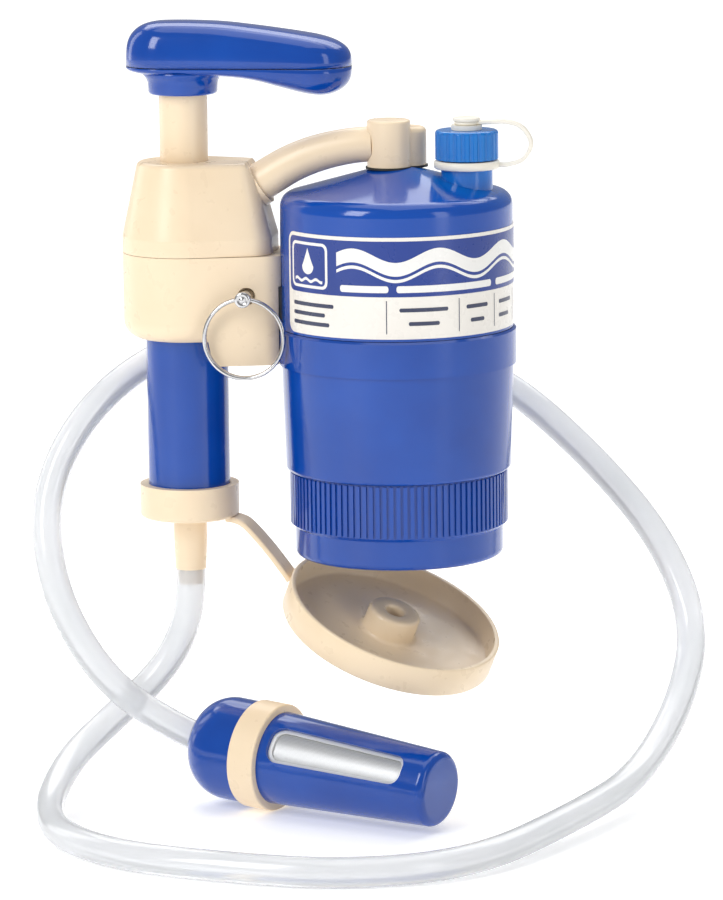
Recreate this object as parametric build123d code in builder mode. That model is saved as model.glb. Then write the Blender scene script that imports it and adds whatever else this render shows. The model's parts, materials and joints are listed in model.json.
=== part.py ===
"""Hand-pumped camping water filter: canister, pump, transfer pipe, capped spout, base cap, hose and prefilter.

Millimetres. The origin is the centre of the bottle socket's mouth, on the canister's axis. +Z is up along
that axis, +X runs from the pump to the canister, and -Y is the side with the release pin.
"""
from build123d import *
from math import cos, pi, radians, sin, tan
import os

os.makedirs("parts", exist_ok=True)

# ---------------------------------------------------------------- driving dimensions
pump_x = -81.8             # the pump's axis stands beside the canister's
play = 0.1                 # radial clearance of a part that slides or turns in another

canister_r = 44.5
wall = 2.4
roof_apex_z = 151.5
roof_slope = tan(radians(15.4))
body_split_z = 88.6        # the top shell shows above it, the rim band below it
rim_band_r = 45.6
rim_band_z = 74.5
adapter_top_z = 33.3
adapter_r = 41.2
rib_height = 0.7
rib_count = 100
lip_r = 40.0
lip_z = 11.3
socket_r = 32.0
socket_depth = 14.0
nipple_r = 3.2
nipple_low_z = 3.0
stem_r = 3.8               # the nipple's stem through the adapter and the canister's floor

spout = (27.5, -2.0)
neck_r = 8.8
neck_top_z = 160.8
leash_z = (149.2, 152.5)
cap_z = (152.9, 164.0)
cap_r = 12.0

elbow = (-2.5, -1.0)
elbow_r = 8.3
elbow_seam_z = 158.4
elbow_top_z = 167.6
lobe = (3.5, 6.0)
lobe_r = 7.5
seat_z = 149.0             # floor of the pocket in the roof that takes the elbow's gasket
gasket_t = 0.8

head_z = (116.8, 151.5)
bracket_z = (83.4, 116.6)
housing_r = 24.2
arm_bottom_z = 74.9
barrel_r = 15.8
barrel_bore_r = 13.5
barrel_bottom_z = 15.8
rod_r = 9.25

pin_x, pin_z = -55.5, 101.6
ring_y = -25.2
ring_r = 15.2
ring_wire_r = 1.2

grip_seam_z = 188.0
grip_ends = (-104.8, -16.8)
grip_width = 32.0

tether_heading = radians(-5.6)     # the base cap hangs in this direction from the pump's axis
cap_centre = Vector(-0.7, -8.0, -21.3)
cap_normal = Vector(0.354, -0.23, 0.905).normalized()
base_cap_r = 42.3
base_cap_height = 12.0

hose_r = 5.7
hose_bore_r = 3.7
hose_route = [
    (-81.8, 0, -7.6), (-81.8, 0, -24), (-91, -1, -46), (-111, -7, -65), (-127, -32, -79),
    (-125, -88, -88.9), (-95, -129, -88.9), (-55, -144, -88.9), (-2, -154, -88.9), (44, -132, -88.9),
    (74, -72, -86), (94, -19, -83), (107, 25, -63), (111, 48, -36), (96, 61, -4),
    (68, 67, 27), (35, 68, 56), (-6, 65, 74), (-49, 54, 81), (-88, 33, 77),
    (-119, 7, 59), (-137, -11, 26), (-133, -23, -10), (-116, -26, -42), (-95, -21, -62),
    (-71.8, -22.5, -72.1),
]

dome_centre = Vector(-57.7, -28.9, -73.0)
float_axis = Vector(0.907, -0.415, -0.056).normalized()
float_up = (Vector(0, 0, 1) - float_axis * float_axis.Z).normalized()
float_side = float_axis.cross(float_up)      # towards the viewer
dome_r = 19.8
band_r = 20.7
cage_r = (17.8, 14.3)
cage_s = (17.5, 89.5)      # stations along the prefilter, from the dome's centre

# ---------------------------------------------------------------- shared planes, axes and helpers
pump_side = Plane(origin=(pump_x, 0, 0), x_dir=(1, 0, 0), z_dir=(0, -1, 0))
pump_axis = Axis((pump_x, 0, 0), (0, 0, 1))
spout_side = Plane(origin=(*spout, 0), x_dir=(1, 0, 0), z_dir=(0, -1, 0))
spout_axis = Axis((*spout, 0), (0, 0, 1))
float_plane = Plane(origin=dome_centre, x_dir=float_up, z_dir=float_up.cross(float_axis))
float_line = Axis(dome_centre, float_axis)
tether_plane = Plane(
    origin=(pump_x, 0, 0),
    x_dir=(cos(tether_heading), sin(tether_heading), 0),
    z_dir=(sin(tether_heading), -cos(tether_heading), 0),
)


def outline(plane, points):
    """A closed straight-sided face: each point is (distance from the plane's y axis, distance along it)."""
    with BuildSketch(plane) as face:
        with BuildLine():
            Polyline(*points, close=True)
        make_face()
    return face.sketch


def ring_outline(plane, inner, outer, low, high):
    """The section of a plain ring or tube, ready to revolve."""
    return outline(plane, [(inner, low), (outer, low), (outer, high), (inner, high)])


def disc(plane, radius, place=(0, 0)):
    """A round face on a plane."""
    with BuildSketch(plane) as face:
        with Locations(place):
            Circle(radius)
    return face.sketch


def column(place, radius, low, high, mode=Mode.ADD):
    """An upright cylinder between two heights, inside the current part."""
    extrude(disc(Plane.XY.offset(low), radius, place), amount=high - low, mode=mode)


def save(piece, name):
    """Label a finished piece and write it to its own file."""
    piece.part.label = name
    export_step(piece.part, f"parts/{name}.step")


# ---------------------------------------------------------------- canister
def roof_z(radius):
    return roof_apex_z - radius * roof_slope


skirt_r = rim_band_r - 2.7
inner_r = skirt_r - wall
with BuildPart() as canister_top_shell:
    revolve(
        outline(Plane.XZ, [
            (0, roof_apex_z - wall), (0, roof_apex_z), (canister_r, roof_z(canister_r)),
            (canister_r, body_split_z), (skirt_r, body_split_z), (skirt_r, 79.0), (inner_r, 79.0),
            (inner_r, roof_z(inner_r) - wall),
        ]),
        axis=Axis.Z,
    )
    fillet(canister_top_shell.edges().filter_by(GeomType.CIRCLE)
           .filter_by(lambda e: abs(e.radius - canister_r) < 0.01).sort_by(Axis.Z)[-1], 5.5)
    neck_low = roof_z(inner_r)
    column(spout, neck_r + 1.0, neck_low, leash_z[0])
    column(spout, neck_r, neck_low, neck_top_z)
    for ridge_z in (155.0, 158.4):
        revolve(outline(spout_side, [(neck_r - 1, ridge_z - 1.1), (neck_r + 0.7, ridge_z),
                                     (neck_r - 1, ridge_z + 1.1)]), axis=spout_axis)
    column(spout, neck_r - 2.6, neck_low - 6, neck_top_z + 1, mode=Mode.SUBTRACT)
    column(elbow, elbow_r + 0.7, seat_z, roof_apex_z + 1, mode=Mode.SUBTRACT)
    column(lobe, lobe_r + 0.7, seat_z, roof_apex_z + 1, mode=Mode.SUBTRACT)
    column(elbow, 4.0, 130, 152, mode=Mode.SUBTRACT)
save(canister_top_shell, "canister_top_shell")

boss_r = 38.0
boss_z = 22.0
floor_z = adapter_top_z + 2.7
with BuildPart() as canister_bottom_shell:
    revolve(
        outline(Plane.XZ, [
            (stem_r + play, adapter_top_z), (43.2, adapter_top_z), (canister_r, rim_band_z),
            (rim_band_r, rim_band_z), (rim_band_r, body_split_z - 0.2), (skirt_r + play, body_split_z - 0.2),
            (skirt_r + play, 77.4), (inner_r, 77.4), (inner_r, floor_z), (stem_r + play, floor_z),
        ]),
        axis=Axis.Z,
    )
    revolve(ring_outline(Plane.XZ, boss_r - 3, boss_r, boss_z, adapter_top_z), axis=Axis.Z)
    corners = canister_bottom_shell.edges().filter_by(GeomType.CIRCLE)
    chamfer(corners.filter_by(lambda e: abs(e.radius - rim_band_r) < 0.01).sort_by(Axis.Z)[-1], 0.8)
    fillet(corners.filter_by(lambda e: abs(e.radius - 43.2) < 0.01).sort_by(Axis.Z)[0], 1.6)
save(canister_bottom_shell, "canister_bottom_shell")

with BuildPart() as shell_gasket:
    revolve(ring_outline(Plane.XZ, inner_r, skirt_r, 77.4, 79.0), axis=Axis.Z)
save(shell_gasket, "shell_gasket")

ceiling_z = socket_depth + 2.0
gasket_r = socket_r - 1.0
with BuildPart() as bottle_adapter:
    revolve(
        outline(Plane.XZ, [
            (socket_r, 0), (lip_r, 0), (lip_r, lip_z), (adapter_r, lip_z + 1.2),
            (adapter_r, adapter_top_z - 0.2), (boss_r + play, adapter_top_z - 0.2), (boss_r + play, boss_z),
            (stem_r + play, boss_z), (stem_r + play, ceiling_z), (gasket_r, ceiling_z),
            (gasket_r, socket_depth), (socket_r, socket_depth),
        ]),
        axis=Axis.Z,
    )
    fillet(bottle_adapter.edges().filter_by(GeomType.CIRCLE)
           .filter_by(lambda e: abs(e.radius - lip_r) < 0.01).sort_by(Axis.Z)[0], 2.2)
    with BuildSketch(Plane.XY.offset(lip_z + 1.6)):
        with PolarLocations(adapter_r + rib_height / 2 - 0.1, rib_count):
            Rectangle(rib_height + 0.2, 1.5)
    extrude(amount=adapter_top_z - lip_z - 2.2)
save(bottle_adapter, "bottle_adapter")

with BuildPart() as bottle_gasket:
    revolve(ring_outline(Plane.XZ, 24.0, gasket_r, socket_depth, ceiling_z), axis=Axis.Z)
save(bottle_gasket, "bottle_gasket")

with BuildPart() as outlet_nipple:
    revolve(ring_outline(Plane.XZ, 1.8, nipple_r, nipple_low_z, ceiling_z), axis=Axis.Z)
    revolve(ring_outline(Plane.XZ, 1.8, stem_r, ceiling_z, floor_z + 1), axis=Axis.Z)
    revolve(ring_outline(Plane.XZ, 1.8, 6.0, boss_z, boss_z + 2), axis=Axis.Z)
save(outlet_nipple, "outlet_nipple")

core_z = (42.0, 127.0)
with BuildPart() as filter_core:
    revolve(ring_outline(Plane.XZ, 6.0, 34.0, *core_z), axis=Axis.Z)
save(filter_core, "filter_core")

with BuildPart() as core_bottom_cap:
    revolve(ring_outline(Plane.XZ, stem_r + play, 36.0, floor_z, core_z[0]), axis=Axis.Z)
save(core_bottom_cap, "core_bottom_cap")

with BuildPart() as core_top_cap:
    revolve(ring_outline(Plane.XZ, 0, 36.0, core_z[1], core_z[1] + 3), axis=Axis.Z)
save(core_top_cap, "core_top_cap")

label_start = radians(-148)
label_edge = Plane(
    origin=(0, 0, 0),
    x_dir=(cos(label_start), sin(label_start), 0),
    z_dir=(sin(label_start), -cos(label_start), 0),
)
with BuildPart() as canister_label:
    revolve(ring_outline(label_edge, canister_r, canister_r + 0.25, 89.6, 128.0), axis=Axis.Z, revolution_arc=200)
    fillet(canister_label.edges().filter_by(lambda e: e.length < 0.3), 4.0)
save(canister_label, "canister_label")

rail_span = 34.0           # degrees of the canister that the rail covers
rail_start = radians(180 - rail_span / 2)
rail_edge = Plane(
    origin=(0, 0, 0),
    x_dir=(cos(rail_start), sin(rail_start), 0),
    z_dir=(sin(rail_start), -cos(rail_start), 0),
)
with BuildPart() as mount_rail:
    revolve(ring_outline(rail_edge, canister_r, rim_band_r, body_split_z, 104.8), axis=Axis.Z,
            revolution_arc=rail_span)
    with Locations(((pin_x - 5 - canister_r) / 2, 0, 100.4)):
        Box(abs(pin_x - 5 + canister_r), 10, 8.8)
    with Locations((0, 0, 0)):
        Cylinder(canister_r, 300, mode=Mode.SUBTRACT)
    extrude(disc(Plane.XZ.offset(-20), 2.5, (pin_x, pin_z)), amount=40, mode=Mode.SUBTRACT)
save(mount_rail, "mount_rail")

# ---------------------------------------------------------------- spout cap and its leash
with BuildPart() as spout_cap:
    column(spout, cap_r, *cap_z)
    fillet(spout_cap.edges().group_by(Axis.Z)[-1], 1.2)
    with BuildSketch(Plane.XY.offset(cap_z[0])):
        with Locations(spout):
            with PolarLocations(cap_r + 0.45, 24):
                Circle(1.0)
    extrude(amount=cap_z[1] - cap_z[0] - 0.6, mode=Mode.SUBTRACT)
    column(spout, neck_r + 1.0, cap_z[0], neck_top_z + 1.4, mode=Mode.SUBTRACT)
    column(spout, 2.0, cap_z[0], cap_z[1], mode=Mode.SUBTRACT)
save(spout_cap, "spout_cap")

with BuildPart() as cap_liner:
    revolve(ring_outline(spout_side, 2.2, neck_r + 0.8, neck_top_z, neck_top_z + 1.4), axis=spout_axis)
save(cap_liner, "cap_liner")

strap_z = (165.9, 167.5)
with BuildPart() as leash_eyelet:
    revolve(ring_outline(spout_side, 1.9, 5.9, cap_z[1] + play, strap_z[0]), axis=spout_axis)
save(leash_eyelet, "leash_eyelet")

with BuildPart() as leash_rivet:
    column(spout, 1.9, neck_top_z + 1.6, strap_z[1])
    column(spout, 5.2, strap_z[1], strap_z[1] + 1.3)
    fillet(leash_rivet.edges().group_by(Axis.Z)[-1], 0.8)
save(leash_rivet, "leash_rivet")

strap_width = 3.8
strap_t = strap_z[1] - strap_z[0]
loop_low = leash_z[0] + 0.8
loop_high = strap_z[1]
loop_mid = (loop_low + loop_high) / 2
loop_end_x = 52.9
with BuildPart() as cap_leash:
    revolve(ring_outline(spout_side, neck_r + 0.2, 12.5, *leash_z), axis=spout_axis)
    with BuildSketch(Plane.XZ.offset(-spout[1])):
        with Locations((spout[0], loop_mid)):
            SlotOverall(2 * (loop_end_x - spout[0]), loop_high - loop_low)
            SlotOverall(2 * (loop_end_x - spout[0] - strap_t), loop_high - loop_low - 2 * strap_t,
                        mode=Mode.SUBTRACT)
        with Locations((spout[0] - 30, loop_mid)):
            Rectangle(60, 40, mode=Mode.SUBTRACT)
        with Locations((spout[0], loop_low)):
            Rectangle(20, 4, mode=Mode.SUBTRACT)
    extrude(amount=strap_width / 2, both=True)
    column(spout, 4.6, *strap_z)
    column(spout, 2.1, *strap_z, mode=Mode.SUBTRACT)
save(cap_leash, "cap_leash")

# ---------------------------------------------------------------- elbow and transfer pipe
seat_point = Vector(-52.0, 0, 143.5)
seat_tilt = radians(31.5)
seat_normal = Vector(cos(seat_tilt), 0, sin(seat_tilt))
pipe_end = Vector(-8.5, elbow[1], 158.2)
pipe_r = (7.5, 6.65)
pipe_bore_r = 4.0
with BuildLine() as pipe_path:
    Spline(seat_point, (-40.5, -0.2, 150.4), (-26.5, -0.6, 155.6), pipe_end,
           tangents=(seat_normal, Vector(1, 0, 0.03)))
pipe_line = pipe_path.line


def pipe_sections(start_r, end_r):
    """Round sections across the pipe's path, from the pump end to the elbow."""
    sections = []
    for step in range(6):
        t = step / 5
        plane = Plane(origin=pipe_line @ t, x_dir=(0, 1, 0), z_dir=pipe_line % t)
        sections.append(disc(plane, start_r + (end_r - start_r) * t))
    return sections


with BuildPart() as transfer_pipe:
    loft(pipe_sections(*pipe_r))
    loft(pipe_sections(pipe_bore_r, pipe_bore_r), mode=Mode.SUBTRACT)
save(transfer_pipe, "transfer_pipe")

elbow_base_z = seat_z + gasket_t
pipe_socket = Plane(origin=pipe_end + Vector(play, 0, 0), z_dir=(-1, 0, -0.03))
with BuildPart() as elbow_body:
    column(lobe, lobe_r, elbow_base_z, 164.4)
    fillet(elbow_body.edges().group_by(Axis.Z)[-1], 2.2)
    column(elbow, elbow_r, elbow_seam_z, elbow_top_z + 1, mode=Mode.SUBTRACT)
    column(elbow, elbow_r, elbow_base_z, elbow_seam_z)
    column(elbow, pipe_bore_r, elbow_base_z, elbow_seam_z, mode=Mode.SUBTRACT)
    column(lobe, 3.0, elbow_base_z, 156, mode=Mode.SUBTRACT)
    extrude(disc(pipe_socket, pipe_r[1] + 0.15), amount=12, mode=Mode.SUBTRACT)
save(elbow_body, "elbow_body")

with BuildPart() as elbow_cap:
    column(elbow, elbow_r, elbow_seam_z, elbow_top_z)
    fillet(elbow_cap.edges().group_by(Axis.Z)[-1], 1.0)
    column(elbow, pipe_bore_r, elbow_seam_z, 163, mode=Mode.SUBTRACT)
    extrude(disc(pipe_socket, pipe_r[1] + 0.15), amount=12, mode=Mode.SUBTRACT)
save(elbow_cap, "elbow_cap")

with BuildPart() as elbow_gasket:
    column(elbow, elbow_r + 0.6, seat_z, elbow_base_z)
    column(lobe, lobe_r + 0.6, seat_z, elbow_base_z)
    column(elbow, pipe_bore_r, seat_z, elbow_base_z, mode=Mode.SUBTRACT)
save(elbow_gasket, "elbow_gasket")

# ---------------------------------------------------------------- pump housings
def head_section(height, left_r, right_x, corner_r):
    """The head's plan: a large round end on the pump's axis, drawn out to two small corners on the right."""
    with BuildSketch(Plane.XY.offset(height)) as plan:
        with Locations((pump_x, 0)):
            Circle(left_r)
        with Locations((right_x - corner_r, corner_r * 0.9), (right_x - corner_r, -corner_r * 0.9)):
            Circle(corner_r)
        make_hull()
    return plan.sketch


screw_places = [(pump_x + 20.0 * cos(radians(a)), 20.0 * sin(radians(a))) for a in (75, 125, 175)]
shoulder_z = 123.0
cavity_top_z = 142.0
with BuildPart() as pump_head:
    extrude(head_section(head_z[0], housing_r, -47.0, 9.0), amount=shoulder_z - head_z[0])
    loft([head_section(shoulder_z, housing_r, -47.0, 9.0), head_section(head_z[1], 18.0, -54.5, 6.5)])
    fillet(pump_head.edges().group_by(Axis.Z)[-1], 2.2)
    extrude(disc(Plane(origin=seat_point - seat_normal * 16, z_dir=seat_normal), 8.9), amount=16)
    extrude(disc(Plane(origin=seat_point, z_dir=seat_normal), 30), amount=20, mode=Mode.SUBTRACT)
    column((pump_x, 0), barrel_bore_r, head_z[0], cavity_top_z, mode=Mode.SUBTRACT)
    column((pump_x, 0), rod_r + 2, cavity_top_z, cavity_top_z + 4, mode=Mode.SUBTRACT)
    column((pump_x, 0), rod_r + play, cavity_top_z, head_z[1] + 1, mode=Mode.SUBTRACT)
    extrude(disc(Plane(origin=seat_point - seat_normal * 24, z_dir=seat_normal), pipe_bore_r), amount=24,
            mode=Mode.SUBTRACT)
    for place in screw_places:
        column(place, 1.5, head_z[0], 128, mode=Mode.SUBTRACT)
save(pump_head, "pump_head")

with BuildPart() as rod_seal:
    revolve(ring_outline(pump_side, rod_r + play, rod_r + 1.9, cavity_top_z + 0.8, cavity_top_z + 3.4),
            axis=pump_axis)
save(rod_seal, "rod_seal")

arm_left_x = -68.0
bracket_plan = (housing_r, -42.0, 9.0)
with BuildPart() as bracket_arm:
    extrude(head_section(arm_bottom_z, *bracket_plan), amount=bracket_z[1] - arm_bottom_z)
    with BuildSketch(Plane.XZ.offset(-30)) as arm_side:
        with BuildLine():
            Polyline((-76, bracket_z[1]), (arm_left_x, arm_bottom_z), (-30, arm_bottom_z), (-30, bracket_z[1]),
                     close=True)
        make_face()
        fillet(arm_side.vertices().sort_by(Axis.X).sort_by(Axis.Z)[0], 5.0)
    extrude(arm_side.sketch, amount=60, mode=Mode.INTERSECT)

with BuildPart() as pump_bracket:
    extrude(head_section(bracket_z[0], *bracket_plan), amount=bracket_z[1] - bracket_z[0])
    fillet(pump_bracket.edges().group_by(Axis.Z)[0], 7.5)
    add(bracket_arm.part)
    Cylinder(rim_band_r + 0.3, 209.6, mode=Mode.SUBTRACT)
    Cylinder(canister_r + 0.15, 400, mode=Mode.SUBTRACT)
    column((pump_x, 0), barrel_r, 60, bracket_z[1], mode=Mode.SUBTRACT)
    with Locations(((pin_x - 5.3 - 40) / 2, 0, 100.4)):
        Box(abs(pin_x - 5.3 + 40), 10.4, 9.4, mode=Mode.SUBTRACT)
    extrude(disc(Plane.XZ.offset(-20), 2.5, (pin_x, pin_z)), amount=40, mode=Mode.SUBTRACT)
    extrude(disc(Plane.XZ.offset(15), 3.4, (pin_x, pin_z)), amount=8, mode=Mode.SUBTRACT)
    for place in screw_places:
        column(place, 1.6, 60, bracket_z[1], mode=Mode.SUBTRACT)
        column(place, 3.0, 60, 92, mode=Mode.SUBTRACT)
save(pump_bracket, "pump_bracket")

with BuildPart() as housing_screws:
    for place in screw_places:
        column(place, 1.5, 92, 126)
        column(place, 2.8, 89.6, 92)
save(housing_screws, "housing_screws")

with BuildPart() as pump_barrel:
    revolve(ring_outline(pump_side, barrel_bore_r, barrel_r, barrel_bottom_z, bracket_z[1] - 0.2), axis=pump_axis)
save(pump_barrel, "pump_barrel")

plug_top_z = 24.0
with BuildPart() as inlet_fitting:
    revolve(
        outline(pump_side, [
            (2.4, plug_top_z), (barrel_bore_r, plug_top_z), (barrel_bore_r, barrel_bottom_z),
            (6.45, barrel_bottom_z), (6.45, 4.0), (5.95, hose_route[0][2]), (3.5, hose_route[0][2]),
            (3.3, hose_route[0][2] - 6), (2.4, hose_route[0][2] - 6),
        ]),
        axis=pump_axis,
    )
save(inlet_fitting, "inlet_fitting")

with BuildPart() as inlet_valve:
    column((pump_x, 0), 9.0, plug_top_z, plug_top_z + 1.2)
save(inlet_valve, "inlet_valve")

# ---------------------------------------------------------------- rod, piston and grip
piston_z = (44.2, 56.0)
rod_top_z = 184.0
spigot_r = 5.1
with BuildPart() as pump_rod:
    column((pump_x, 0), rod_r, piston_z[1] + 0.2, rod_top_z)
    column((pump_x, 0), spigot_r, piston_z[0] - 2.2, piston_z[1] + 0.2)
    column((pump_x, 0), 3.4, piston_z[0] - 2.2, 168, mode=Mode.SUBTRACT)
    column((pump_x, 0), 1.9, 168, rod_top_z, mode=Mode.SUBTRACT)
save(pump_rod, "pump_rod")

with BuildPart() as piston:
    revolve(ring_outline(pump_side, spigot_r + play, barrel_bore_r - 0.2, *piston_z), axis=pump_axis)
    revolve(ring_outline(pump_side, 11.3, barrel_bore_r, 48.5, 51.5), axis=pump_axis, mode=Mode.SUBTRACT)
save(piston, "piston")

with BuildPart() as piston_seal:
    revolve(ring_outline(pump_side, 11.3, barrel_bore_r - 0.05, 48.6, 51.4), axis=pump_axis)
save(piston_seal, "piston_seal")

with BuildPart() as outlet_valve:
    revolve(ring_outline(pump_side, rod_r + 0.3, 12.4, piston_z[1], piston_z[1] + 1), axis=pump_axis)
save(outlet_valve, "outlet_valve")

with BuildPart() as piston_clip:
    revolve(ring_outline(pump_side, spigot_r, 7.2, piston_z[0] - 1.2, piston_z[0] - 0.2), axis=pump_axis)
save(piston_clip, "piston_clip")

grip_mid = sum(grip_ends) / 2
grip_length = grip_ends[1] - grip_ends[0]


def grip_plan(inset, low, high):
    """The grip seen from above: a long slot shape, drawn in by inset."""
    with BuildSketch(Plane.XY.offset(low)) as plan:
        with Locations((grip_mid, 0)):
            SlotOverall(grip_length - 2 * inset, grip_width - 2 * inset)
    extrude(plan.sketch, amount=high - low)


def grip_profile(points, base_z, shift):
    """The grip seen from the side, between a level base and a smooth curve through the points."""
    with BuildSketch(Plane.XZ.offset(-grip_width)) as side:
        with BuildLine():
            curve = Spline(*[(x, z + shift) for x, z in points])
            Polyline(curve @ 1, (points[-1][0], base_z), (points[0][0], base_z), curve @ 0)
        make_face()
    extrude(side.sketch, amount=2 * grip_width, mode=Mode.INTERSECT)


crown = [(-108, 202.0), (-90, 205.0), (-66, 204.0), (-44, 200.6), (-26, 196.0), (-12, 190.6)]
belly = [(-108, 186.2), (-98, 185.0), (-66, 184.9), (-50, 182.6), (-36, 178.6), (-26, 178.4), (-12, 183.2)]
shell_t = 2.4
with BuildPart() as crown_hollow:
    grip_plan(shell_t, grip_seam_z, 210)
    grip_profile(crown, grip_seam_z, -shell_t)

with BuildPart() as handle_top_shell:
    grip_plan(0, grip_seam_z, 210)
    grip_profile(crown, grip_seam_z, 0)
    fillet(handle_top_shell.edges().filter_by(lambda e: e.center().Z > grip_seam_z + 4)
           .filter_by(lambda e: (e @ 0).Z > grip_seam_z + 1 and (e @ 1).Z > grip_seam_z + 1), 4.0)
    add(crown_hollow.part, mode=Mode.SUBTRACT)
save(handle_top_shell, "handle_top_shell")

with BuildPart() as belly_hollow:
    grip_plan(shell_t, 170, grip_seam_z - 0.2)
    grip_profile(belly, grip_seam_z - 0.2, shell_t - 0.8)

with BuildPart() as handle_bottom_shell:
    grip_plan(0, 170, grip_seam_z - 0.2)
    grip_profile(belly, grip_seam_z - 0.2, 0)
    fillet(handle_bottom_shell.edges().filter_by(lambda e: e.center().Z < grip_seam_z - 1)
           .filter_by(lambda e: (e @ 0).Z < grip_seam_z - 0.5 and (e @ 1).Z < grip_seam_z - 0.5), 1.0)
    add(belly_hollow.part, mode=Mode.SUBTRACT)
    revolve(
        outline(pump_side, [(2.2, 186.6), (15.2, 186.6), (15.0, 184.4), (13.6, 182.4), (13.3, 178.2),
                            (12.6, 177.2), (rod_r, 177.2), (rod_r, rod_top_z), (2.2, rod_top_z)]),
        axis=pump_axis,
    )
    column((pump_x, 0), 2.2, rod_top_z, grip_seam_z, mode=Mode.SUBTRACT)
save(handle_bottom_shell, "handle_bottom_shell")

with BuildPart() as handle_screw:
    column((pump_x, 0), 1.9, 172, 186.6)
    column((pump_x, 0), 4.2, 186.6, 189.4)
save(handle_screw, "handle_screw")

# ---------------------------------------------------------------- release pin and ring
pin_head_y = -22.0
with BuildPart() as release_pin:
    extrude(disc(Plane.XZ.offset(-12), 2.4, (pin_x, pin_z)), amount=12 - pin_head_y)
    extrude(disc(Plane.XZ.offset(-pin_head_y), 2.7, (pin_x, pin_z)), amount=6.2)
    extrude(disc(Plane.YZ.offset(pin_x - 5), ring_wire_r + 0.4, (ring_y, pin_z)), amount=10, mode=Mode.SUBTRACT)
save(release_pin, "release_pin")

with BuildPart() as pull_ring:
    with Locations((pin_x, ring_y, pin_z - ring_r)):
        Torus(ring_r, ring_wire_r, rotation=(90, 0, 0))
save(pull_ring, "pull_ring")

# ---------------------------------------------------------------- tether and base cap
collar_z = (13.3, 26.2)
with BuildPart() as tether_ring:
    revolve(
        outline(pump_side, [
            (6.8, collar_z[0]), (19.15, collar_z[0]), (19.15, collar_z[1]), (barrel_r + play, collar_z[1]),
            (barrel_r + play, barrel_bottom_z - 0.2), (6.8, barrel_bottom_z - 0.2),
        ]),
        axis=pump_axis,
    )
    fillet(tether_ring.edges().filter_by(GeomType.CIRCLE)
           .filter_by(lambda e: abs(e.radius - 19.15) < 0.01).sort_by(Axis.Z)[0], 1.6)
save(tether_ring, "tether_ring")

strap_line = [(16.0, 13.3), (22.5, 11.6), (31.0, 2.4), (38.8, -7.6)]
tether_t = 2.0
with BuildPart() as tether_strap:
    with BuildSketch(tether_plane):
        with BuildLine():
            upper = Spline(*[(r + 0.7 * tether_t, z) for r, z in strap_line[1:]], tangents=((1, -0.4), (1, -1.3)))
            lower = Spline(*[(r - 0.7 * tether_t, z - 0.4) for r, z in strap_line[1:]],
                           tangents=((1, -0.4), (1, -1.3)))
            Polyline(upper @ 0, (strap_line[0][0], collar_z[0]), (strap_line[0][0], collar_z[0] - 1.6), lower @ 0)
            Line(upper @ 1, lower @ 1)
        make_face()
    extrude(amount=6.0, both=True)
save(tether_strap, "tether_strap")

cap_plane = Plane(origin=cap_centre, x_dir=Vector(1, 0, 0) - cap_normal * cap_normal.X, z_dir=cap_normal)
with BuildPart() as base_cap:
    extrude(disc(cap_plane, base_cap_r), amount=-base_cap_height)
    fillet(base_cap.edges().filter_by(GeomType.CIRCLE).sort_by(lambda e: e.center().dot(cap_normal))[0], 1.0)
    extrude(disc(cap_plane, base_cap_r - 2.0), amount=-(base_cap_height - 2.2), mode=Mode.SUBTRACT)
    extrude(disc(cap_plane.offset(-base_cap_height + 2), 10.5), amount=7.7)
    extrude(disc(cap_plane.offset(-base_cap_height + 2.2), 3.7), amount=9, mode=Mode.SUBTRACT)
save(base_cap, "base_cap")

# ---------------------------------------------------------------- intake hose and prefilter
route = [Vector(*point) for point in hose_route]
bend_radii = []
for before, corner, after in zip(route, route[1:], route[2:]):
    run_in = corner - before
    run_out = after - corner
    turn = radians(run_in.get_angle(run_out))
    bend_radii.append(0.45 * min(run_in.length, run_out.length) / tan(turn / 2))
print("hose radii", [round(radius) for radius in bend_radii])

with BuildLine() as hose_path:
    FilletPolyline(*route, radius=bend_radii)
with BuildPart() as intake_hose:
    with BuildSketch(Plane(origin=route[0], z_dir=route[1] - route[0])):
        Circle(hose_r)
        Circle(hose_bore_r, mode=Mode.SUBTRACT)
    sweep(path=hose_path.line)
save(intake_hose, "intake_hose")
hose_length = hose_path.wire().length
section = pi * (hose_r**2 - hose_bore_r**2)
print("hose length", round(hose_length), "volume over section x length",
      round(intake_hose.part.volume / (section * hose_length), 4))

dome_s = (-19.5, 6.0)
with BuildPart() as prefilter_dome:
    revolve(ring_outline(float_plane, 0, dome_r, *dome_s), axis=float_line)
    fillet(prefilter_dome.edges().filter_by(GeomType.CIRCLE).sort_by(lambda e: e.center().dot(float_axis))[0], 15.0)
    revolve(ring_outline(float_plane, 0, 17.0, -8.0, dome_s[1]), axis=float_line, mode=Mode.SUBTRACT)
    revolve(ring_outline(float_plane, 0, 3.0, -17.0, -8.0), axis=float_line, mode=Mode.SUBTRACT)
    extrude(disc(Plane(origin=route[-1], z_dir=route[-2] - route[-1]), hose_r), amount=20, mode=Mode.SUBTRACT)
save(prefilter_dome, "prefilter_dome")

with BuildPart() as prefilter_band:
    revolve(ring_outline(float_plane, 17.0, band_r, dome_s[1], cage_s[0]), axis=float_line)
    fillet(prefilter_band.edges().filter_by(lambda e: abs(e.length - 2 * pi * band_r) < 0.1), 0.8)
save(prefilter_band, "prefilter_band")


def window(length, wide, narrow, corner):
    """The two window cuts of the prefilter, tapered like its cage, opposite each other."""
    tilt = radians(34)
    facing = float_side * cos(tilt) + float_up * sin(tilt)
    with BuildSketch(Plane(origin=dome_centre + float_axis * 50, x_dir=float_axis, z_dir=facing)) as face:
        Polygon((-length / 2, -wide / 2), (length / 2, -narrow / 2), (length / 2, narrow / 2),
                (-length / 2, wide / 2), align=None)
        fillet(face.vertices(), corner)
    extrude(face.sketch, amount=30, both=True, mode=Mode.SUBTRACT)


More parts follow.
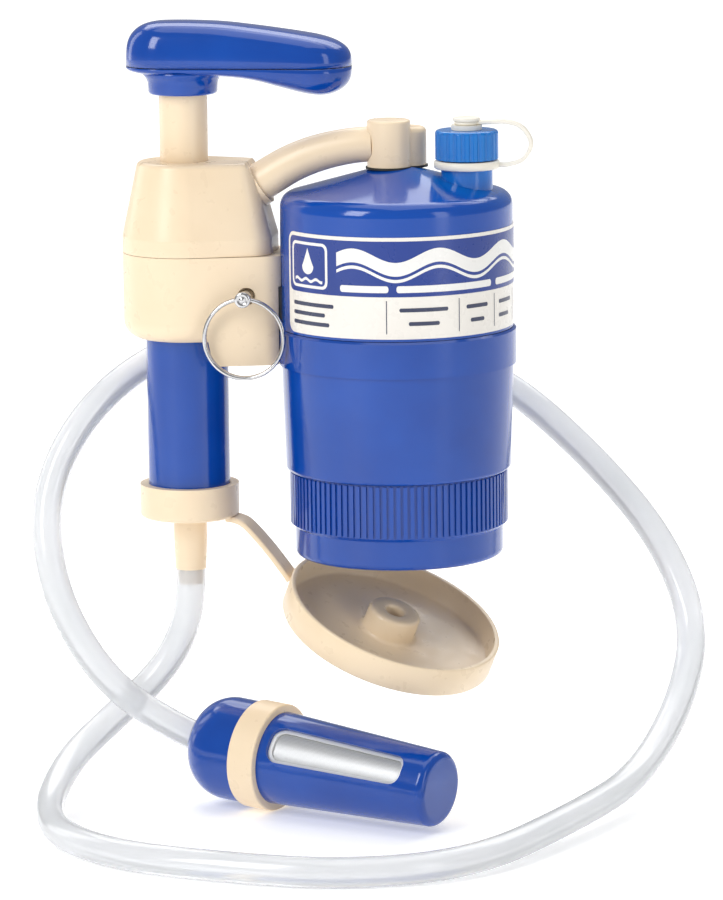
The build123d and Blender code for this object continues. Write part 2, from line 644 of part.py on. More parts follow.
cage_t = 1.8
with BuildPart() as prefilter_cage:
    revolve(outline(float_plane, [(0, cage_s[1]), (cage_r[1], cage_s[1]), (cage_r[0], cage_s[0]),
                                  (0, cage_s[0])]), axis=float_line)
    fillet(prefilter_cage.edges().filter_by(GeomType.CIRCLE).sort_by(lambda e: e.center().dot(float_axis))[-1], 3.0)
    revolve(outline(float_plane, [(0, cage_s[1] - 3), (cage_r[1] - cage_t, cage_s[1] - 3),
                                  (cage_r[0] - cage_t, cage_s[0]), (0, cage_s[0])]),
            axis=float_line, mode=Mode.SUBTRACT)
    window(58, 14.5, 11.5, 4.5)
save(prefilter_cage, "prefilter_cage")

liner_t = 1.0
with BuildPart() as prefilter_liner:
    revolve(outline(float_plane, [(cage_r[1] - cage_t - 0.1, cage_s[1] - 4), (cage_r[0] - cage_t - 0.1, cage_s[0]),
                                  (cage_r[0] - cage_t - liner_t, cage_s[0]),
                                  (cage_r[1] - cage_t - liner_t, cage_s[1] - 4)]), axis=float_line)
    window(55, 11.5, 8.8, 3.2)
save(prefilter_liner, "prefilter_liner")

with BuildPart() as prefilter_screen:
    revolve(outline(float_plane, [(cage_r[1] - cage_t - liner_t - 0.1, cage_s[1] - 4),
                                  (cage_r[0] - cage_t - liner_t - 0.1, cage_s[0]),
                                  (cage_r[0] - cage_t - liner_t - 0.6, cage_s[0]),
                                  (cage_r[1] - cage_t - liner_t - 0.6, cage_s[1] - 4)]), axis=float_line)
save(prefilter_screen, "prefilter_screen")
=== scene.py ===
"""Looks for the pump water filter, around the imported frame.

It gives every CAD node its material, prints the label, and replaces the hose, the straps, the base cap,
the pump grip and the split ring with finer pieces. Then it adds the floor, the lights and the camera.

Blender works in metres. Tables of points are in millimetres and are scaled by MM. The frame is the CAD
model's: +Z up the canister's axis, -Y towards the viewer.
"""
import json
from math import cos, exp, pi, radians, sin, tau

import bmesh
import bpy
from mathutils import Matrix, Vector


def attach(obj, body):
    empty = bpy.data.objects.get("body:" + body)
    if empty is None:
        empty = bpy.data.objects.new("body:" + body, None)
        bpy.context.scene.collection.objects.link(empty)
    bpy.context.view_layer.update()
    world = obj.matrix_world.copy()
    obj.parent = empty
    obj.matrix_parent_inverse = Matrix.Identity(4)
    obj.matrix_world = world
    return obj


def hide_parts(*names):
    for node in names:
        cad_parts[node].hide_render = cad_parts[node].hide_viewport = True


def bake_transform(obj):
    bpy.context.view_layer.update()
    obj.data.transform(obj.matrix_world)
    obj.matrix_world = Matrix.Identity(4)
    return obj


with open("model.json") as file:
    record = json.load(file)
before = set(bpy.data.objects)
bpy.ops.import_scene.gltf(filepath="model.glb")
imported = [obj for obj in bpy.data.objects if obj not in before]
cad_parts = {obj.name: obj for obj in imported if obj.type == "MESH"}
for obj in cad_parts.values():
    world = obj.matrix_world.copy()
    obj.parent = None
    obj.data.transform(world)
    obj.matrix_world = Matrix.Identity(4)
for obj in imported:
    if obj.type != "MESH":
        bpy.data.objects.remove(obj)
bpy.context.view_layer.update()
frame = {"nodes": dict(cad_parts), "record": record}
scene = bpy.context.scene
MM = 0.001

# ---------------------------------------------------------------- places on the part
SPOUT = Vector((27.5, -2.0, 0)) * MM
PUMP = Vector((-81.8, 0, 0)) * MM
PIN_X, PIN_Z = -55.5, 101.6
FLOAT_AXIS = Vector((0.907, -0.415, -0.056)).normalized()

# ---------------------------------------------------------------- camera
VIEW_AZIMUTH = radians(8)
VIEW_ELEVATION = radians(9.9)
VIEW_ROLL = radians(0.65)
VIEW_DISTANCE = 2.0
VIEW_ACROSS, VIEW_UPWARD = -0.0143, 0.0394
LENS = 207.2

right = Vector((cos(VIEW_AZIMUTH), sin(VIEW_AZIMUTH), 0))
level = Vector((-sin(VIEW_AZIMUTH), cos(VIEW_AZIMUTH), 0))
up = level * sin(VIEW_ELEVATION) + Vector((0, 0, cos(VIEW_ELEVATION)))
forward = level * cos(VIEW_ELEVATION) - Vector((0, 0, sin(VIEW_ELEVATION)))
eye = right * VIEW_ACROSS + up * VIEW_UPWARD - forward * VIEW_DISTANCE
camera_x = right * cos(VIEW_ROLL) - up * sin(VIEW_ROLL)
camera_y = right * sin(VIEW_ROLL) + up * cos(VIEW_ROLL)
camera = bpy.data.objects.new("camera", bpy.data.cameras.new("camera"))
camera.data.lens = LENS
camera.data.clip_end = 20
camera_turn = Matrix((camera_x, camera_y, -forward)).transposed().to_4x4()
camera.matrix_world = Matrix.Translation(eye) @ camera_turn
scene.collection.objects.link(camera)
scene.camera = camera
scene.view_settings.view_transform = "Standard"


# ---------------------------------------------------------------- materials
TONE_SCALE = 28
POLISH_SCALE = 190
GRAIN_SCALE = 480
GRAIN_STRENGTH = 0.12
GRAIN_DEPTH = 0.006 * MM
COAT_ROUGHNESS = 0.06
WAVE_SPACING = 0.314    # metres between the bands of a wave texture of scale 1
WIRE_PITCH = 0.4 * MM


class Nodes:
    """A material's node tree, with short calls for the nodes that every look here uses."""

    def __init__(self, name):
        self.material = bpy.data.materials.new(name)
        self.material.use_nodes = True
        self.tree = self.material.node_tree
        self.shader = self.tree.nodes["Principled BSDF"]
        self.place = self.tree.nodes.new("ShaderNodeTexCoord").outputs["Object"]

    def noise(self, scale, detail=3.0):
        node = self.tree.nodes.new("ShaderNodeTexNoise")
        node.inputs["Scale"].default_value = scale
        node.inputs["Detail"].default_value = detail
        self.tree.links.new(self.place, node.inputs["Vector"])
        return node.outputs["Fac"]

    def spread(self, value, low, high):
        """Remap a texture's middle range to low .. high."""
        node = self.tree.nodes.new("ShaderNodeMapRange")
        node.inputs["From Min"].default_value = 0.3
        node.inputs["From Max"].default_value = 0.7
        node.inputs["To Min"].default_value = low
        node.inputs["To Max"].default_value = high
        self.tree.links.new(value, node.inputs["Value"])
        return node.outputs["Result"]

    def tint(self, value, dark, light):
        """Colour between two tones, led by a texture."""
        node = self.tree.nodes.new("ShaderNodeMix")
        node.data_type = "RGBA"
        node.inputs["A"].default_value = (*dark, 1)
        node.inputs["B"].default_value = (*light, 1)
        self.tree.links.new(value, node.inputs["Factor"])
        self.tree.links.new(node.outputs["Result"], self.shader.inputs["Base Color"])

    def bump(self, value, strength, distance):
        node = self.tree.nodes.new("ShaderNodeBump")
        node.inputs["Strength"].default_value = strength
        node.inputs["Distance"].default_value = distance
        self.tree.links.new(value, node.inputs["Height"])
        self.tree.links.new(node.outputs["Normal"], self.shader.inputs["Normal"])

    def roughness(self, value):
        self.tree.links.new(value, self.shader.inputs["Roughness"])

    def put(self, **values):
        for socket, value in values.items():
            self.shader.inputs[socket.replace("_", " ")].default_value = value


def plastic_surface(nodes, smoothest, roughest, coat, grain=GRAIN_SCALE, grain_depth=GRAIN_DEPTH):
    """An uneven polish, a fine grain and a clear coat."""
    nodes.roughness(nodes.spread(nodes.noise(POLISH_SCALE, 2), smoothest, roughest))
    nodes.bump(nodes.noise(grain), GRAIN_STRENGTH, grain_depth)
    nodes.put(Coat_Weight=coat, Coat_Roughness=COAT_ROUGHNESS)


def moulded(name, dark, light, rough, coat=0.0, **grain):
    """Moulded plastic in two close tones. grain may set another grain and grain_depth."""
    nodes = Nodes(name)
    nodes.tint(nodes.spread(nodes.noise(TONE_SCALE), 0.0, 1.0), dark, light)
    plastic_surface(nodes, rough * 0.8, rough * 1.25, coat, **grain)
    return nodes.material


def metal(name, tone, rough, streak):
    """Polished or drawn steel with fine streaks in its polish."""
    nodes = Nodes(name)
    nodes.tint(nodes.spread(nodes.noise(60), 0.0, 1.0), [c * 0.86 for c in tone], tone)
    nodes.roughness(nodes.spread(nodes.noise(streak, 6), rough * 0.7, rough * 1.4))
    nodes.bump(nodes.noise(streak), 0.08, 0.00002)
    nodes.put(Metallic=1.0)
    return nodes.material


def woven_wire(name, axis, pitch):
    """Fine steel cloth: two sets of wires across each other, with a painted highlight on the wire tops and
    painted shade between them.
    """
    nodes = Nodes(name)
    turn = nodes.tree.nodes.new("ShaderNodeMapping")
    turn.vector_type = "TEXTURE"
    turn.inputs["Rotation"].default_value = Vector(axis).to_track_quat("X", "Z").to_euler()
    nodes.tree.links.new(nodes.place, turn.inputs["Vector"])
    waves = []
    for direction in ("X", "Z"):
        wave = nodes.tree.nodes.new("ShaderNodeTexWave")
        wave.bands_direction = direction
        wave.inputs["Scale"].default_value = WAVE_SPACING / pitch
        nodes.tree.links.new(turn.outputs["Vector"], wave.inputs["Vector"])
        waves.append(wave.outputs["Fac"])
    top = nodes.tree.nodes.new("ShaderNodeMath")
    top.operation = "MAXIMUM"
    for wave, socket in zip(waves, top.inputs):
        nodes.tree.links.new(wave, socket)
    # Painted highlight and shade: the base colour is lighter on the wire tops and darker between the wires.
    nodes.tint(top.outputs["Value"], (0.34, 0.345, 0.35), (0.60, 0.61, 0.62))
    nodes.bump(top.outputs["Value"], 0.35, 0.00006)
    nodes.put(Metallic=0.8, Roughness=0.38)
    return nodes.material


def clear_vinyl(name):
    """Milky translucent hose wall."""
    nodes = Nodes(name)
    nodes.tint(nodes.spread(nodes.noise(35), 0.0, 1.0), (0.86, 0.88, 0.90), (0.92, 0.93, 0.95))
    nodes.roughness(nodes.spread(nodes.noise(160, 4), 0.12, 0.2))
    nodes.bump(nodes.noise(900), 0.1, 0.00004)
    nodes.put(Transmission_Weight=0.5, IOR=1.4, Coat_Weight=0.4)
    return nodes.material


PLAIN_BLUE = ((0.001, 0.050, 0.32), (0.002, 0.066, 0.39))
looks = {
    "blue_plastic": moulded("blue_plastic", *PLAIN_BLUE, 0.13, coat=0.15),
    "cyan_plastic": moulded("cyan_plastic", (0.0, 0.17, 0.56), (0.0, 0.21, 0.66), 0.2, coat=0.2),
    "beige_plastic": moulded("beige_plastic", (0.88, 0.70, 0.48), (0.93, 0.76, 0.54), 0.32),
    "cream_plastic": moulded("cream_plastic", (0.88, 0.83, 0.72), (0.92, 0.88, 0.78), 0.4),
    "black_plastic": moulded("black_plastic", (0.010, 0.010, 0.012), (0.018, 0.018, 0.02), 0.38),
    "black_rubber": moulded("black_rubber", (0.012, 0.012, 0.012), (0.02, 0.02, 0.02), 0.6,
                            grain_depth=0.1 * MM),
    "steel": metal("steel", (0.66, 0.66, 0.67), 0.16, 1400),
    "screen_mesh": woven_wire("screen_mesh", FLOAT_AXIS, WIRE_PITCH),
    "clear_vinyl": clear_vinyl("clear_vinyl"),
    "carbon": moulded("carbon", (0.02, 0.02, 0.02), (0.05, 0.05, 0.05), 0.8, grain=700, grain_depth=0.4 * MM),
    "label_film": moulded("label_film", (0.84, 0.80, 0.74), (0.88, 0.85, 0.79), 0.28, coat=0.3),
    "white_plastic": moulded("white_plastic", (0.80, 0.80, 0.78), (0.86, 0.86, 0.84), 0.35),
}
ink_blue = moulded("ink_blue", (0.006, 0.035, 0.24), (0.008, 0.042, 0.28), 0.3, coat=0.3)
ink_white = moulded("ink_white", (0.84, 0.83, 0.80), (0.9, 0.89, 0.86), 0.3, coat=0.3)
ink_grey = moulded("ink_grey", (0.03, 0.04, 0.09), (0.045, 0.055, 0.11), 0.3, coat=0.2)

# Centre height and reach of the painted pool of light around the spout on the top shell.
SPOUT_PAINTED_LIGHT_Z = 158 * MM
SPOUT_PAINTED_LIGHT_R = 34 * MM


def painted_light_shell(name):
    """The top shell's blue with a painted pool of light: the colour turns a lighter blue near the spout."""
    nodes = Nodes(name)
    far = nodes.tree.nodes.new("ShaderNodeVectorMath")
    far.operation = "DISTANCE"
    far.inputs[1].default_value = SPOUT + Vector((0, 0, SPOUT_PAINTED_LIGHT_Z))
    nodes.tree.links.new(nodes.place, far.inputs[0])
    glow = nodes.tree.nodes.new("ShaderNodeMapRange")
    glow.interpolation_type = "SMOOTHSTEP"
    glow.inputs["From Min"].default_value = SPOUT_PAINTED_LIGHT_R
    glow.inputs["From Max"].default_value = 0.0
    nodes.tree.links.new(far.outputs["Value"], glow.inputs["Value"])
    # Painted light: the base colour turns from the plain blue to a lighter blue near the spout.
    nodes.tint(glow.outputs["Result"], PLAIN_BLUE[1], (0.0, 0.22, 0.70))
    plastic_surface(nodes, 0.1, 0.16, coat=0.15)
    return nodes.material


for subpart in frame["record"]["subparts"]:
    node = frame["nodes"][subpart["node"]]
    node.data.materials.clear()
    node.data.materials.append(looks[subpart["material_slot"]])
# The top shell gets the blue with the painted pool of light around the spout.
top_shell = frame["nodes"]["canister_top_shell"]
top_shell.data.materials.clear()
top_shell.data.materials.append(painted_light_shell("blue_plastic_painted_light"))


# ---------------------------------------------------------------- helpers for the pieces
WELD_REACH = 0.01 * MM
FLAT_SIDES = 10         # a face with this many sides or more is a flat end
STRAP_CORNER = 0.35     # corner radius of a strap, as a share of its thickness


def piece_from(name, mesh, slot, material=None):
    """Link a finished mesh as a smooth piece with its slot's look."""
    piece = bpy.data.objects.new(name, mesh)
    scene.collection.objects.link(piece)
    mesh.materials.append(material or looks[slot])
    return piece


def mesh_of(name, points, faces, smooth=True):
    """A mesh whose faces all point outwards."""
    mesh = bpy.data.meshes.new(name)
    mesh.from_pydata([tuple(p) for p in points], [], faces)
    mesh.validate()
    edit = bmesh.new()
    edit.from_mesh(mesh)
    bmesh.ops.recalc_face_normals(edit, faces=edit.faces)
    for face in edit.faces:
        face.smooth = smooth
    edit.to_mesh(mesh)
    edit.free()
    return mesh


def weld(mesh, slivers=False):
    """Join the points that meet. With slivers, faces without area go too."""
    edit = bmesh.new()
    edit.from_mesh(mesh)
    bmesh.ops.remove_doubles(edit, verts=edit.verts, dist=WELD_REACH)
    if slivers:
        bmesh.ops.dissolve_degenerate(edit, edges=edit.edges, dist=WELD_REACH)
        bmesh.ops.recalc_face_normals(edit, faces=edit.faces)
    for face in edit.faces:
        face.smooth = len(face.verts) < FLAT_SIDES
    edit.to_mesh(mesh)
    edit.free()


def smooth_line(points, steps=14):
    """A Catmull-Rom line through given points."""
    knots = [Vector(p) for p in points]
    knots = [knots[0] * 2 - knots[1]] + knots + [knots[-1] * 2 - knots[-2]]
    line = []
    for a, b, c, d in zip(knots, knots[1:], knots[2:], knots[3:]):
        for step in range(steps):
            t = step / steps
            line.append(0.5 * (2 * b + (c - a) * t + (2 * a - 5 * b + 4 * c - d) * t**2
                               + (3 * b - a - 3 * c + d) * t**3))
    line.append(knots[-2])
    return line


def rounded_section(width, thickness, corner, arcs=5):
    """Points of a rectangle with round corners, across and through a strap."""
    section = []
    for quarter, (sx, sy) in enumerate(((1, 1), (-1, 1), (-1, -1), (1, -1))):
        for step in range(arcs + 1):
            angle = (quarter + step / arcs) * pi / 2
            section.append((sx * (width / 2 - corner) + corner * cos(angle),
                            sy * (thickness / 2 - corner) + corner * sin(angle)))
    return section


def strap(name, points, side, width, thickness, slot):
    """A flat strap along a line, its width lying along side. width is a number or a (start, end) pair."""
    line = smooth_line(points)
    widths = width if isinstance(width, tuple) else (width, width)
    vertices = []
    for index, point in enumerate(line):
        ahead = line[min(index + 1, len(line) - 1)] - line[max(index - 1, 0)]
        normal = ahead.cross(side).normalized()
        share = index / (len(line) - 1)
        here = widths[0] + (widths[1] - widths[0]) * share
        for across, through in rounded_section(here, thickness, thickness * STRAP_CORNER):
            vertices.append(point + side * across + normal * through)
    ring = len(vertices) // len(line)
    faces = [tuple(range(ring)), tuple(range(len(vertices) - ring, len(vertices)))]
    for row in range(len(line) - 1):
        for step in range(ring):
            a = row * ring + step
            b = row * ring + (step + 1) % ring
            faces.append((a, b, b + ring, a + ring))
    return piece_from(name, mesh_of(name, vertices, faces), slot)


def turned_mesh(name, profile, place, turns, closed=True):
    """A profile of (radius, height) turned round. place(x, y, height) puts each point in the frame."""
    vertices = []
    for step in range(turns):
        angle = tau * step / turns
        for radius, height in profile:
            vertices.append(place(radius * cos(angle), radius * sin(angle), height))
    ring = len(profile)
    faces = []
    for step in range(turns):
        following = (step + 1) % turns
        for k in range(ring if closed else ring - 1):
            n = (k + 1) % ring
            faces.append((step * ring + k, step * ring + n, following * ring + n, following * ring + k))
    return mesh_of(name, vertices, faces)


def lathe(name, profile, centre, slot, turns=96):
    """A closed profile of (radius, z) in mm, turned about the upright line through centre."""
    scaled = [(radius * MM, z * MM) for radius, z in profile]
    mesh = turned_mesh(name, scaled, lambda x, y, z: (centre[0] + x, centre[1] + y, z), turns)
    return piece_from(name, mesh, slot)


# ---------------------------------------------------------------- hose and prefilter
HOSE_DIAMETER = 11.4 * MM
hose_route = [
    (-81.8, 0, -7.6), (-81.8, 0, -24), (-91, -1, -46), (-111, -7, -65), (-127, -32, -79),
    (-125, -88, -88.9), (-95, -129, -88.9), (-55, -144, -88.9), (-2, -154, -88.9), (44, -132, -88.9),
    (74, -72, -86), (94, -19, -83), (107, 25, -63), (111, 48, -36), (96, 61, -4),
    (68, 67, 27), (35, 68, 56), (-6, 65, 74), (-49, 54, 81), (-88, 33, 77),
    (-119, 7, 59), (-137, -11, 26), (-133, -23, -10), (-116, -26, -42), (-95, -21, -62),
    (-71.8, -22.5, -72.1),
]
hose_curve = bpy.data.curves.new("intake_hose_line", "CURVE")
hose_curve.dimensions = "3D"
hose_curve.bevel_depth = HOSE_DIAMETER / 2
hose_curve.bevel_resolution = 8
hose_curve.resolution_u = 14
spline = hose_curve.splines.new("NURBS")
spline.points.add(len(hose_route) - 1)
for control, point in zip(spline.points, hose_route):
    control.co = (*(Vector(point) * MM), 1)
spline.order_u = 3
spline.use_endpoint_u = True
hose_curve.materials.append(looks["clear_vinyl"])
hose = bpy.data.objects.new("flexible_hose", hose_curve)
scene.collection.objects.link(hose)
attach(hose, "root")
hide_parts("intake_hose")

# ---------------------------------------------------------------- printed label
# Millimetres. A place on the label is its distance along the arc from LABEL_START, and its height z.
LABEL_R = 44.5 + 0.25
LABEL_START = -148.0
LABEL_END = radians(200) * LABEL_R
PRINT_LIFT = 0.05
BADGE_LIFT = 0.08
STREAM_LIFT = 0.1
BADGE_FIELD_LIFT = 0.11
BADGE_INK_LIFT = 0.14


def printed(name, start, end, low, high, material, lift, columns):
    """A patch of ink on the label, between the curves low and high, from start to end along its arc."""
    vertices = []
    for column in range(columns + 1):
        s = start + (end - start) * column / columns
        angle = radians(LABEL_START) + s / LABEL_R
        radius = (LABEL_R + lift) * MM
        for z in (low(s), high(s)):
            vertices.append((radius * cos(angle), radius * sin(angle), z * MM))
    faces = [(2 * k, 2 * k + 2, 2 * k + 3, 2 * k + 1) for k in range(columns)]
    mesh = mesh_of(name, vertices, faces)
    patch = piece_from(name, mesh, "label_film", material)
    if sum(face.normal.dot(face.center) for face in mesh.polygons) < 0:
        mesh.flip_normals()
    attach(patch, "root")
    return patch


def box_curves(start, end, low, high, corner):
    """The lower and upper curves of a rectangle with round corners."""
    def inset(s):
        edge = min(s - start, end - s, corner)
        return corner - (corner**2 - (corner - edge) ** 2) ** 0.5 if edge < corner else 0.0
    return (lambda s: low + inset(s)), (lambda s: high - inset(s))


def printed_box(name, start, end, low, high, corner, material, lift=PRINT_LIFT):
    curves = box_curves(start, end, low, high, corner)
    return printed(name, start, end, *curves, material, lift, columns=max(48, int(4 * (end - start))))


printed_box("label_field", 1.4, LABEL_END - 1.4, 105.6, 126.6, 2.6, ink_blue)
printed_box("label_badge", 3.2, 23.4, 107.4, 124.8, 2.6, ink_white, BADGE_LIFT)
printed_box("label_badge_field", 4.3, 22.3, 108.5, 123.7, 1.8, ink_blue, BADGE_FIELD_LIFT)

DROP_MID = 13.3
DROP_HALF_WIDTH = 3.2
DROP_Z = 112.6 + 3.0
DROP_BELLY = 3.0
DROP_TIP = 6.4
DROP_SHOULDER = 0.6


def drop_reach(s):
    """Distance from the drop's middle line, as a share of its half width."""
    return min(abs(s - DROP_MID) / DROP_HALF_WIDTH, 1.0)


def drop_half(s):
    """Half-height of a circle at this distance, as a share of its radius."""
    return (1 - drop_reach(s)**2) ** 0.5


def drop_low(s):
    return DROP_Z - DROP_BELLY * drop_half(s)


def drop_high(s):
    return DROP_Z + DROP_TIP * (1 - drop_reach(s)) ** 1.25 + DROP_SHOULDER * drop_half(s)


printed("label_drop", DROP_MID - DROP_HALF_WIDTH, DROP_MID + DROP_HALF_WIDTH, drop_low, drop_high,
        ink_white, BADGE_INK_LIFT, columns=48)
printed("label_badge_wave", 5.6, 21.0,
        lambda s: 109.9 + 0.5 * sin(s * 1.15), lambda s: 111.0 + 0.5 * sin(s * 1.15),
        ink_white, BADGE_INK_LIFT, columns=72)

STREAM_START, STREAM_END = 27.5, LABEL_END - 8
STREAM_Z = 118.6
STREAM_SWING = 2.6
STREAM_RATE = 0.19      # radians of the wave for each millimetre of arc


def stream_band(name, below, above):
    """A wavy band whose edges lie this far below and above the stream's middle line."""
    def edge(offset):
        return lambda s: STREAM_Z + STREAM_SWING * sin((s - 26) * STREAM_RATE) + offset
    printed(name, STREAM_START, STREAM_END, edge(below), edge(above), ink_white, STREAM_LIFT, columns=220)


stream_band("label_stream", -2.6, 2.6)
stream_band("label_stream_line", -5.0, -3.8)
for index, (start, end) in enumerate(((29, 48), (51, 92), (95, 125))):
    printed_box(f"label_bar_{index}", start, end, 107.2, 109.8, 0.9, ink_white, STREAM_LIFT)

for index, place in enumerate((47.0, 75.5, 94.0, 112.0)):
    printed_box(f"label_divider_{index}", place, place + 0.35, 91.6, 104.2, 0.1, ink_grey)
panel_lines = [
    (4, 26, 101.2), (4, 22, 97.6), (4, 24, 94.0), (52, 71, 100.6), (55.5, 67.5, 95.4),
    (79, 90, 100.6), (81, 88, 95.4), (97.5, 108.5, 100.6), (97.5, 106, 95.4),
]
for index, (start, end, z) in enumerate(panel_lines):
    printed_box(f"label_line_{index}", start, end, z - 0.75, z + 0.75, 0.6, ink_grey)

# ---------------------------------------------------------------- cap leash
leash_points = [(3.4, 166.7), (9, 167.0), (16, 167.0), (21.6, 164.6), (24.6, 158.8), (21.6, 153.0),
                (16, 150.9), (11.4, 150.8)]
leash = strap("spout_leash", [SPOUT + Vector((x, 0, z)) * MM for x, z in leash_points], Vector((0, 1, 0)),
              3.8 * MM, 1.6 * MM, "cream_plastic")
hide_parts("cap_leash")
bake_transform(leash)
leash_collar = lathe("leash_collar", [
    (9.0, 149.3), (12.0, 149.3), (12.5, 149.8), (12.5, 151.9), (12.0, 152.4), (9.0, 152.4),
], SPOUT, "cream_plastic")
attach(leash_collar, "root")
leash_eye = lathe("leash_eye", [
    (2.1, 165.95), (4.3, 165.95), (4.7, 166.3), (4.7, 167.1), (4.3, 167.45), (2.1, 167.45),
], SPOUT, "cream_plastic")
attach(leash_eye, "leash_head")

# ---------------------------------------------------------------- tether strap
tether_heading = radians(-5.6)
tether_out = Vector((cos(tether_heading), sin(tether_heading), 0))
tether_side = Vector((-sin(tether_heading), cos(tether_heading), 0))
tether_points = [(15.6, 13.0), (19.5, 12.4), (23.5, 10.2), (31.0, 2.2), (38.4, -7.2), (40.6, -10.4)]
tether = strap("tether_band", [PUMP + (tether_out * r + Vector((0, 0, z))) * MM for r, z in tether_points],
               tether_side, (11.0 * MM, 12.0 * MM), 2.2 * MM, "beige_plastic")
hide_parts("tether_strap")
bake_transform(tether)

# ---------------------------------------------------------------- base cap
CAP_CENTRE = Vector((-0.7, -8.0, -21.3)) * MM
CAP_NORMAL = Vector((0.354, -0.23, 0.905)).normalized()
cap_profile = [
    (0.0, -12.0), (40.9, -12.0), (41.8, -11.6), (42.3, -10.8), (42.3, -0.6), (42.0, -0.1), (41.5, 0.0),
    (40.8, 0.0), (40.4, -0.2), (40.3, -0.8), (40.3, -8.8), (39.4, -9.8), (12.0, -9.8), (10.8, -9.3),
    (10.4, -8.4), (10.2, -1.4), (9.6, -0.5), (8.8, -0.2), (4.6, -0.2), (3.9, -0.6), (3.7, -1.2), (3.6, -9.6),
    (0.0, -9.6),
]
dust_cap = lathe("dust_cap_shell", cap_profile, (0, 0), "beige_plastic", turns=128)
cap_tilt = CAP_NORMAL.to_track_quat("Z", "Y").to_matrix().to_4x4()
dust_cap.data.transform(Matrix.Translation(CAP_CENTRE) @ cap_tilt)
weld(dust_cap.data, slivers=True)
dust_cap.data.set_sharp_from_angle(angle=radians(50))
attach(dust_cap, "dust_cap")
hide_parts("base_cap")

# ---------------------------------------------------------------- pump grip
GRIP_ENDS = (-103.6, -16.6)
GRIP_HALF = 15.8
GRIP_SEAM = 187.9
SEAM_GAP = 0.35
CROWN_FULLNESS, BELLY_FULLNESS = 3.3, 3.0
crown_heights = [
    (-104, 15.2), (-94, 16.8), (-80, 17.0), (-66, 16.5), (-50, 14.6), (-36, 12.6), (-26, 10.8), (-16, 8.8),
]
belly_depths = [
    (-104, 2.2), (-96, 3.0), (-80, 3.2), (-66, 3.4), (-54, 4.6), (-42, 8.0), (-32, 10.6), (-24, 11.4),
    (-16, 9.6),
]


def height_at(x, heights):
    """Straight line between the stations of a list of (x, height)."""
    for (x0, h0), (x1, h1) in zip(heights, heights[1:]):
        if x <= x1:
            t = max(0.0, (x - x0) / (x1 - x0))
            return h0 + (h1 - h0) * t
    return heights[-1][1]


def eased(x, heights, reach=5.0):
    """The height averaged over a short stretch, so that the stations leave no corners."""
    samples = [height_at(x + reach * k / 4, heights) for k in range(-4, 5)]
    return sum(samples) / len(samples)


def grip_shell(name, heights, side, seam_z, fullness):
    """Half of the grip: its plan closes on the spine as it rises (side 1) or falls (side -1)."""
    start = GRIP_ENDS[0] + GRIP_HALF
    end = GRIP_ENDS[1] - GRIP_HALF
    plan = []
    straight = 40
    round_steps = 28
    for step in range(straight):
        plan.append((start + (end - start) * step / straight, 0.0, -1.0))
    for step in range(round_steps):
        angle = -pi / 2 + pi * step / round_steps
        plan.append((end, cos(angle), sin(angle)))
    for step in range(straight):
        plan.append((end + (start - end) * step / straight, 0.0, 1.0))
    for step in range(round_steps):
        angle = pi / 2 + pi * step / round_steps
        plan.append((start, cos(angle), sin(angle)))
    rows = 26
    vertices = []
    for row in range(rows):
        turn = pi / 2 * row / (rows - 1)
        inward = max(cos(turn), 0.0) ** (2 / fullness)
        rise = sin(turn) ** (2 / fullness)
        for spine_x, dx, dy in plan:
            x = spine_x + GRIP_HALF * inward * dx
            z = seam_z + side * rise * eased(x, heights)
            vertices.append((x * MM, GRIP_HALF * inward * dy * MM, z * MM))
    ring = len(plan)
    faces = [tuple(range(ring))]
    for row in range(rows - 1):
        for step in range(ring):
            following = (step + 1) % ring
            a, b = row * ring + step, row * ring + following
            faces.append((a, b, b + ring, a + ring))
    mesh = mesh_of(name, vertices, faces)
    weld(mesh)
    return piece_from(name, mesh, "blue_plastic")


grip_top = grip_shell("grip_top", crown_heights, 1, GRIP_SEAM + SEAM_GAP, CROWN_FULLNESS)
grip_bottom = grip_shell("grip_bottom", belly_depths, -1, GRIP_SEAM, BELLY_FULLNESS)
grip_collar = lathe("grip_collar", [
    (9.4, 177.3), (12.3, 177.3), (12.9, 177.6), (13.25, 178.3), (13.35, 180.6), (13.6, 182.2), (14.3, 183.6),
    (15.3, 184.8), (15.6, 186.0), (9.4, 186.0),
], PUMP, "blue_plastic")
for piece, replaced in ((grip_top, "handle_top_shell"), (grip_bottom, "handle_bottom_shell"),
                        (grip_collar, None)):
    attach(piece, "rod")
    if replaced:
        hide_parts(replaced)

# ---------------------------------------------------------------- split ring
RING_R = 15.2 * MM
RING_WIRE = 0.78 * MM
RING_START = radians(40)
RING_TURNS = 2 * 0.985
CROSS_SHARPNESS = 24    # how quickly the wire steps from the front turn to the back one
ring_top = Vector((PIN_X, -25.2, PIN_Z)) * MM
ring_mid = ring_top - Vector((0, 0, RING_R))
TURN_STEPS = 48
ring_curve = bpy.data.curves.new("split_ring_line", "CURVE")
ring_curve.dimensions = "3D"
ring_curve.bevel_depth = RING_WIRE
ring_curve.bevel_resolution = 5
ring_curve.use_fill_caps = True
coil = ring_curve.splines.new("POLY")
coil.points.add(2 * TURN_STEPS - 1)
for index, control in enumerate(coil.points):
    share = index / (2 * TURN_STEPS - 1)
    angle = RING_START + share * RING_TURNS * tau
    cross = 1 / (1 + exp(-CROSS_SHARPNESS * (share - 0.5)))
    offset = (cross - 0.5) * 2 * RING_WIRE
    control.co = (*(ring_mid + Vector((RING_R * cos(angle), offset, RING_R * sin(angle)))), 1)
ring_curve.materials.append(looks["steel"])
ring = bpy.data.objects.new("split_ring", ring_curve)
scene.collection.objects.link(ring)
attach(ring, "ring")
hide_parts("pull_ring")

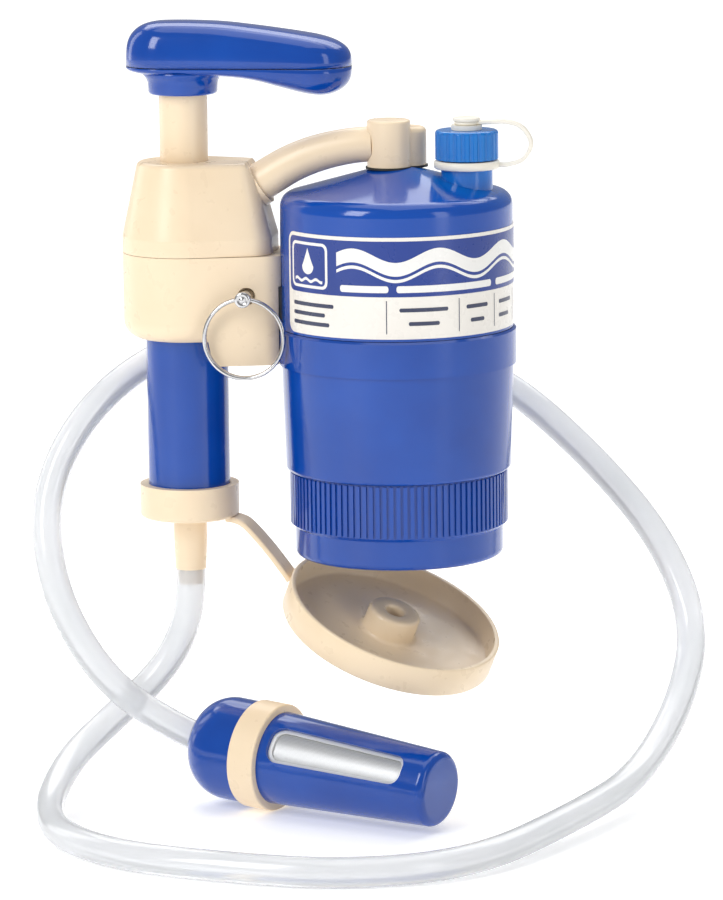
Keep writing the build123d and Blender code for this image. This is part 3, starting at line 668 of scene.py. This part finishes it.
# ---------------------------------------------------------------- pin head
pin_profile = [
    (0.0, -28.75), (1.0, -28.7), (1.15, -28.25), (1.5, -28.2), (1.8, -28.6), (2.9, -28.35), (3.1, -27.9),
    (3.1, -26.9), (2.75, -26.6), (0.0, -26.6),
]
pin_mesh = turned_mesh("pin_head", pin_profile,
                       lambda x, z, y: Vector((PIN_X + x, y, PIN_Z + z)) * MM, turns=40, closed=False)
weld(pin_mesh)
pin_head = piece_from("pin_head", pin_mesh, "steel")
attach(pin_head, "pin")

# ---------------------------------------------------------------- floor and light
FLOOR_Z = -94.7 * MM
FLOOR_HALF = 8.0
FLOOR_GLOW = 0.34
WORLD_LIGHT = 0.32
BACKDROP_TONE = 0.93
floor_nodes = Nodes("floor")
floor_nodes.tint(floor_nodes.spread(floor_nodes.noise(3), 0, 1), (0.90, 0.90, 0.90), (0.93, 0.93, 0.93))
floor_nodes.put(Roughness=0.55, Emission_Color=(1, 1, 1, 1), Emission_Strength=FLOOR_GLOW)
floor_corners = [(x * FLOOR_HALF, y * FLOOR_HALF, FLOOR_Z) for x, y in ((-1, -1), (1, -1), (1, 1), (-1, 1))]
floor_mesh = mesh_of("floor", floor_corners, [(0, 1, 2, 3)], smooth=False)
floor = bpy.data.objects.new("floor", floor_mesh)
floor_mesh.materials.append(floor_nodes.material)
scene.collection.objects.link(floor)


def softbox(name, place, size, power, target=(0, 0, 0.04)):
    """A rectangular area light that faces the object, or another target."""
    lamp = bpy.data.lights.new(name, "AREA")
    lamp.shape = "RECTANGLE"
    lamp.size, lamp.size_y = size
    lamp.energy = power
    holder = bpy.data.objects.new(name, lamp)
    holder.location = place
    holder.rotation_euler = (Vector(target) - Vector(place)).to_track_quat("-Z", "Y").to_euler()
    scene.collection.objects.link(holder)


softbox("key", (-1.1, -1.5, 1.2), (0.7, 1.3), 22)
softbox("fill", (1.6, -1.2, 0.5), (0.5, 1.6), 6)
softbox("top", (0.1, 0.1, 1.7), (1.4, 1.4), 9)
softbox("rim", (-1.5, 0.7, 0.6), (0.5, 1.4), 4)
softbox("wall", (0.0, 0.9, 1.5), (2.4, 0.8), 8)
softbox("far_floor", (0.0, 4.0, 3.2), (5.0, 4.0), 130, target=(0, 4.2, 0))
world = bpy.data.worlds.new("studio")
scene.world = world
world.use_nodes = True
studio = world.node_tree
seen = studio.nodes.new("ShaderNodeBackground")
seen.inputs["Color"].default_value = (BACKDROP_TONE, BACKDROP_TONE, BACKDROP_TONE, 1)
glow = studio.nodes["Background"]
glow.inputs["Color"].default_value = (1, 1, 1, 1)
glow.inputs["Strength"].default_value = WORLD_LIGHT
choice = studio.nodes.new("ShaderNodeMixShader")
studio.links.new(studio.nodes.new("ShaderNodeLightPath").outputs["Is Camera Ray"], choice.inputs["Fac"])
studio.links.new(glow.outputs["Background"], choice.inputs[1])
studio.links.new(seen.outputs["Background"], choice.inputs[2])
studio.links.new(choice.outputs["Shader"], studio.nodes["World Output"].inputs["Surface"])
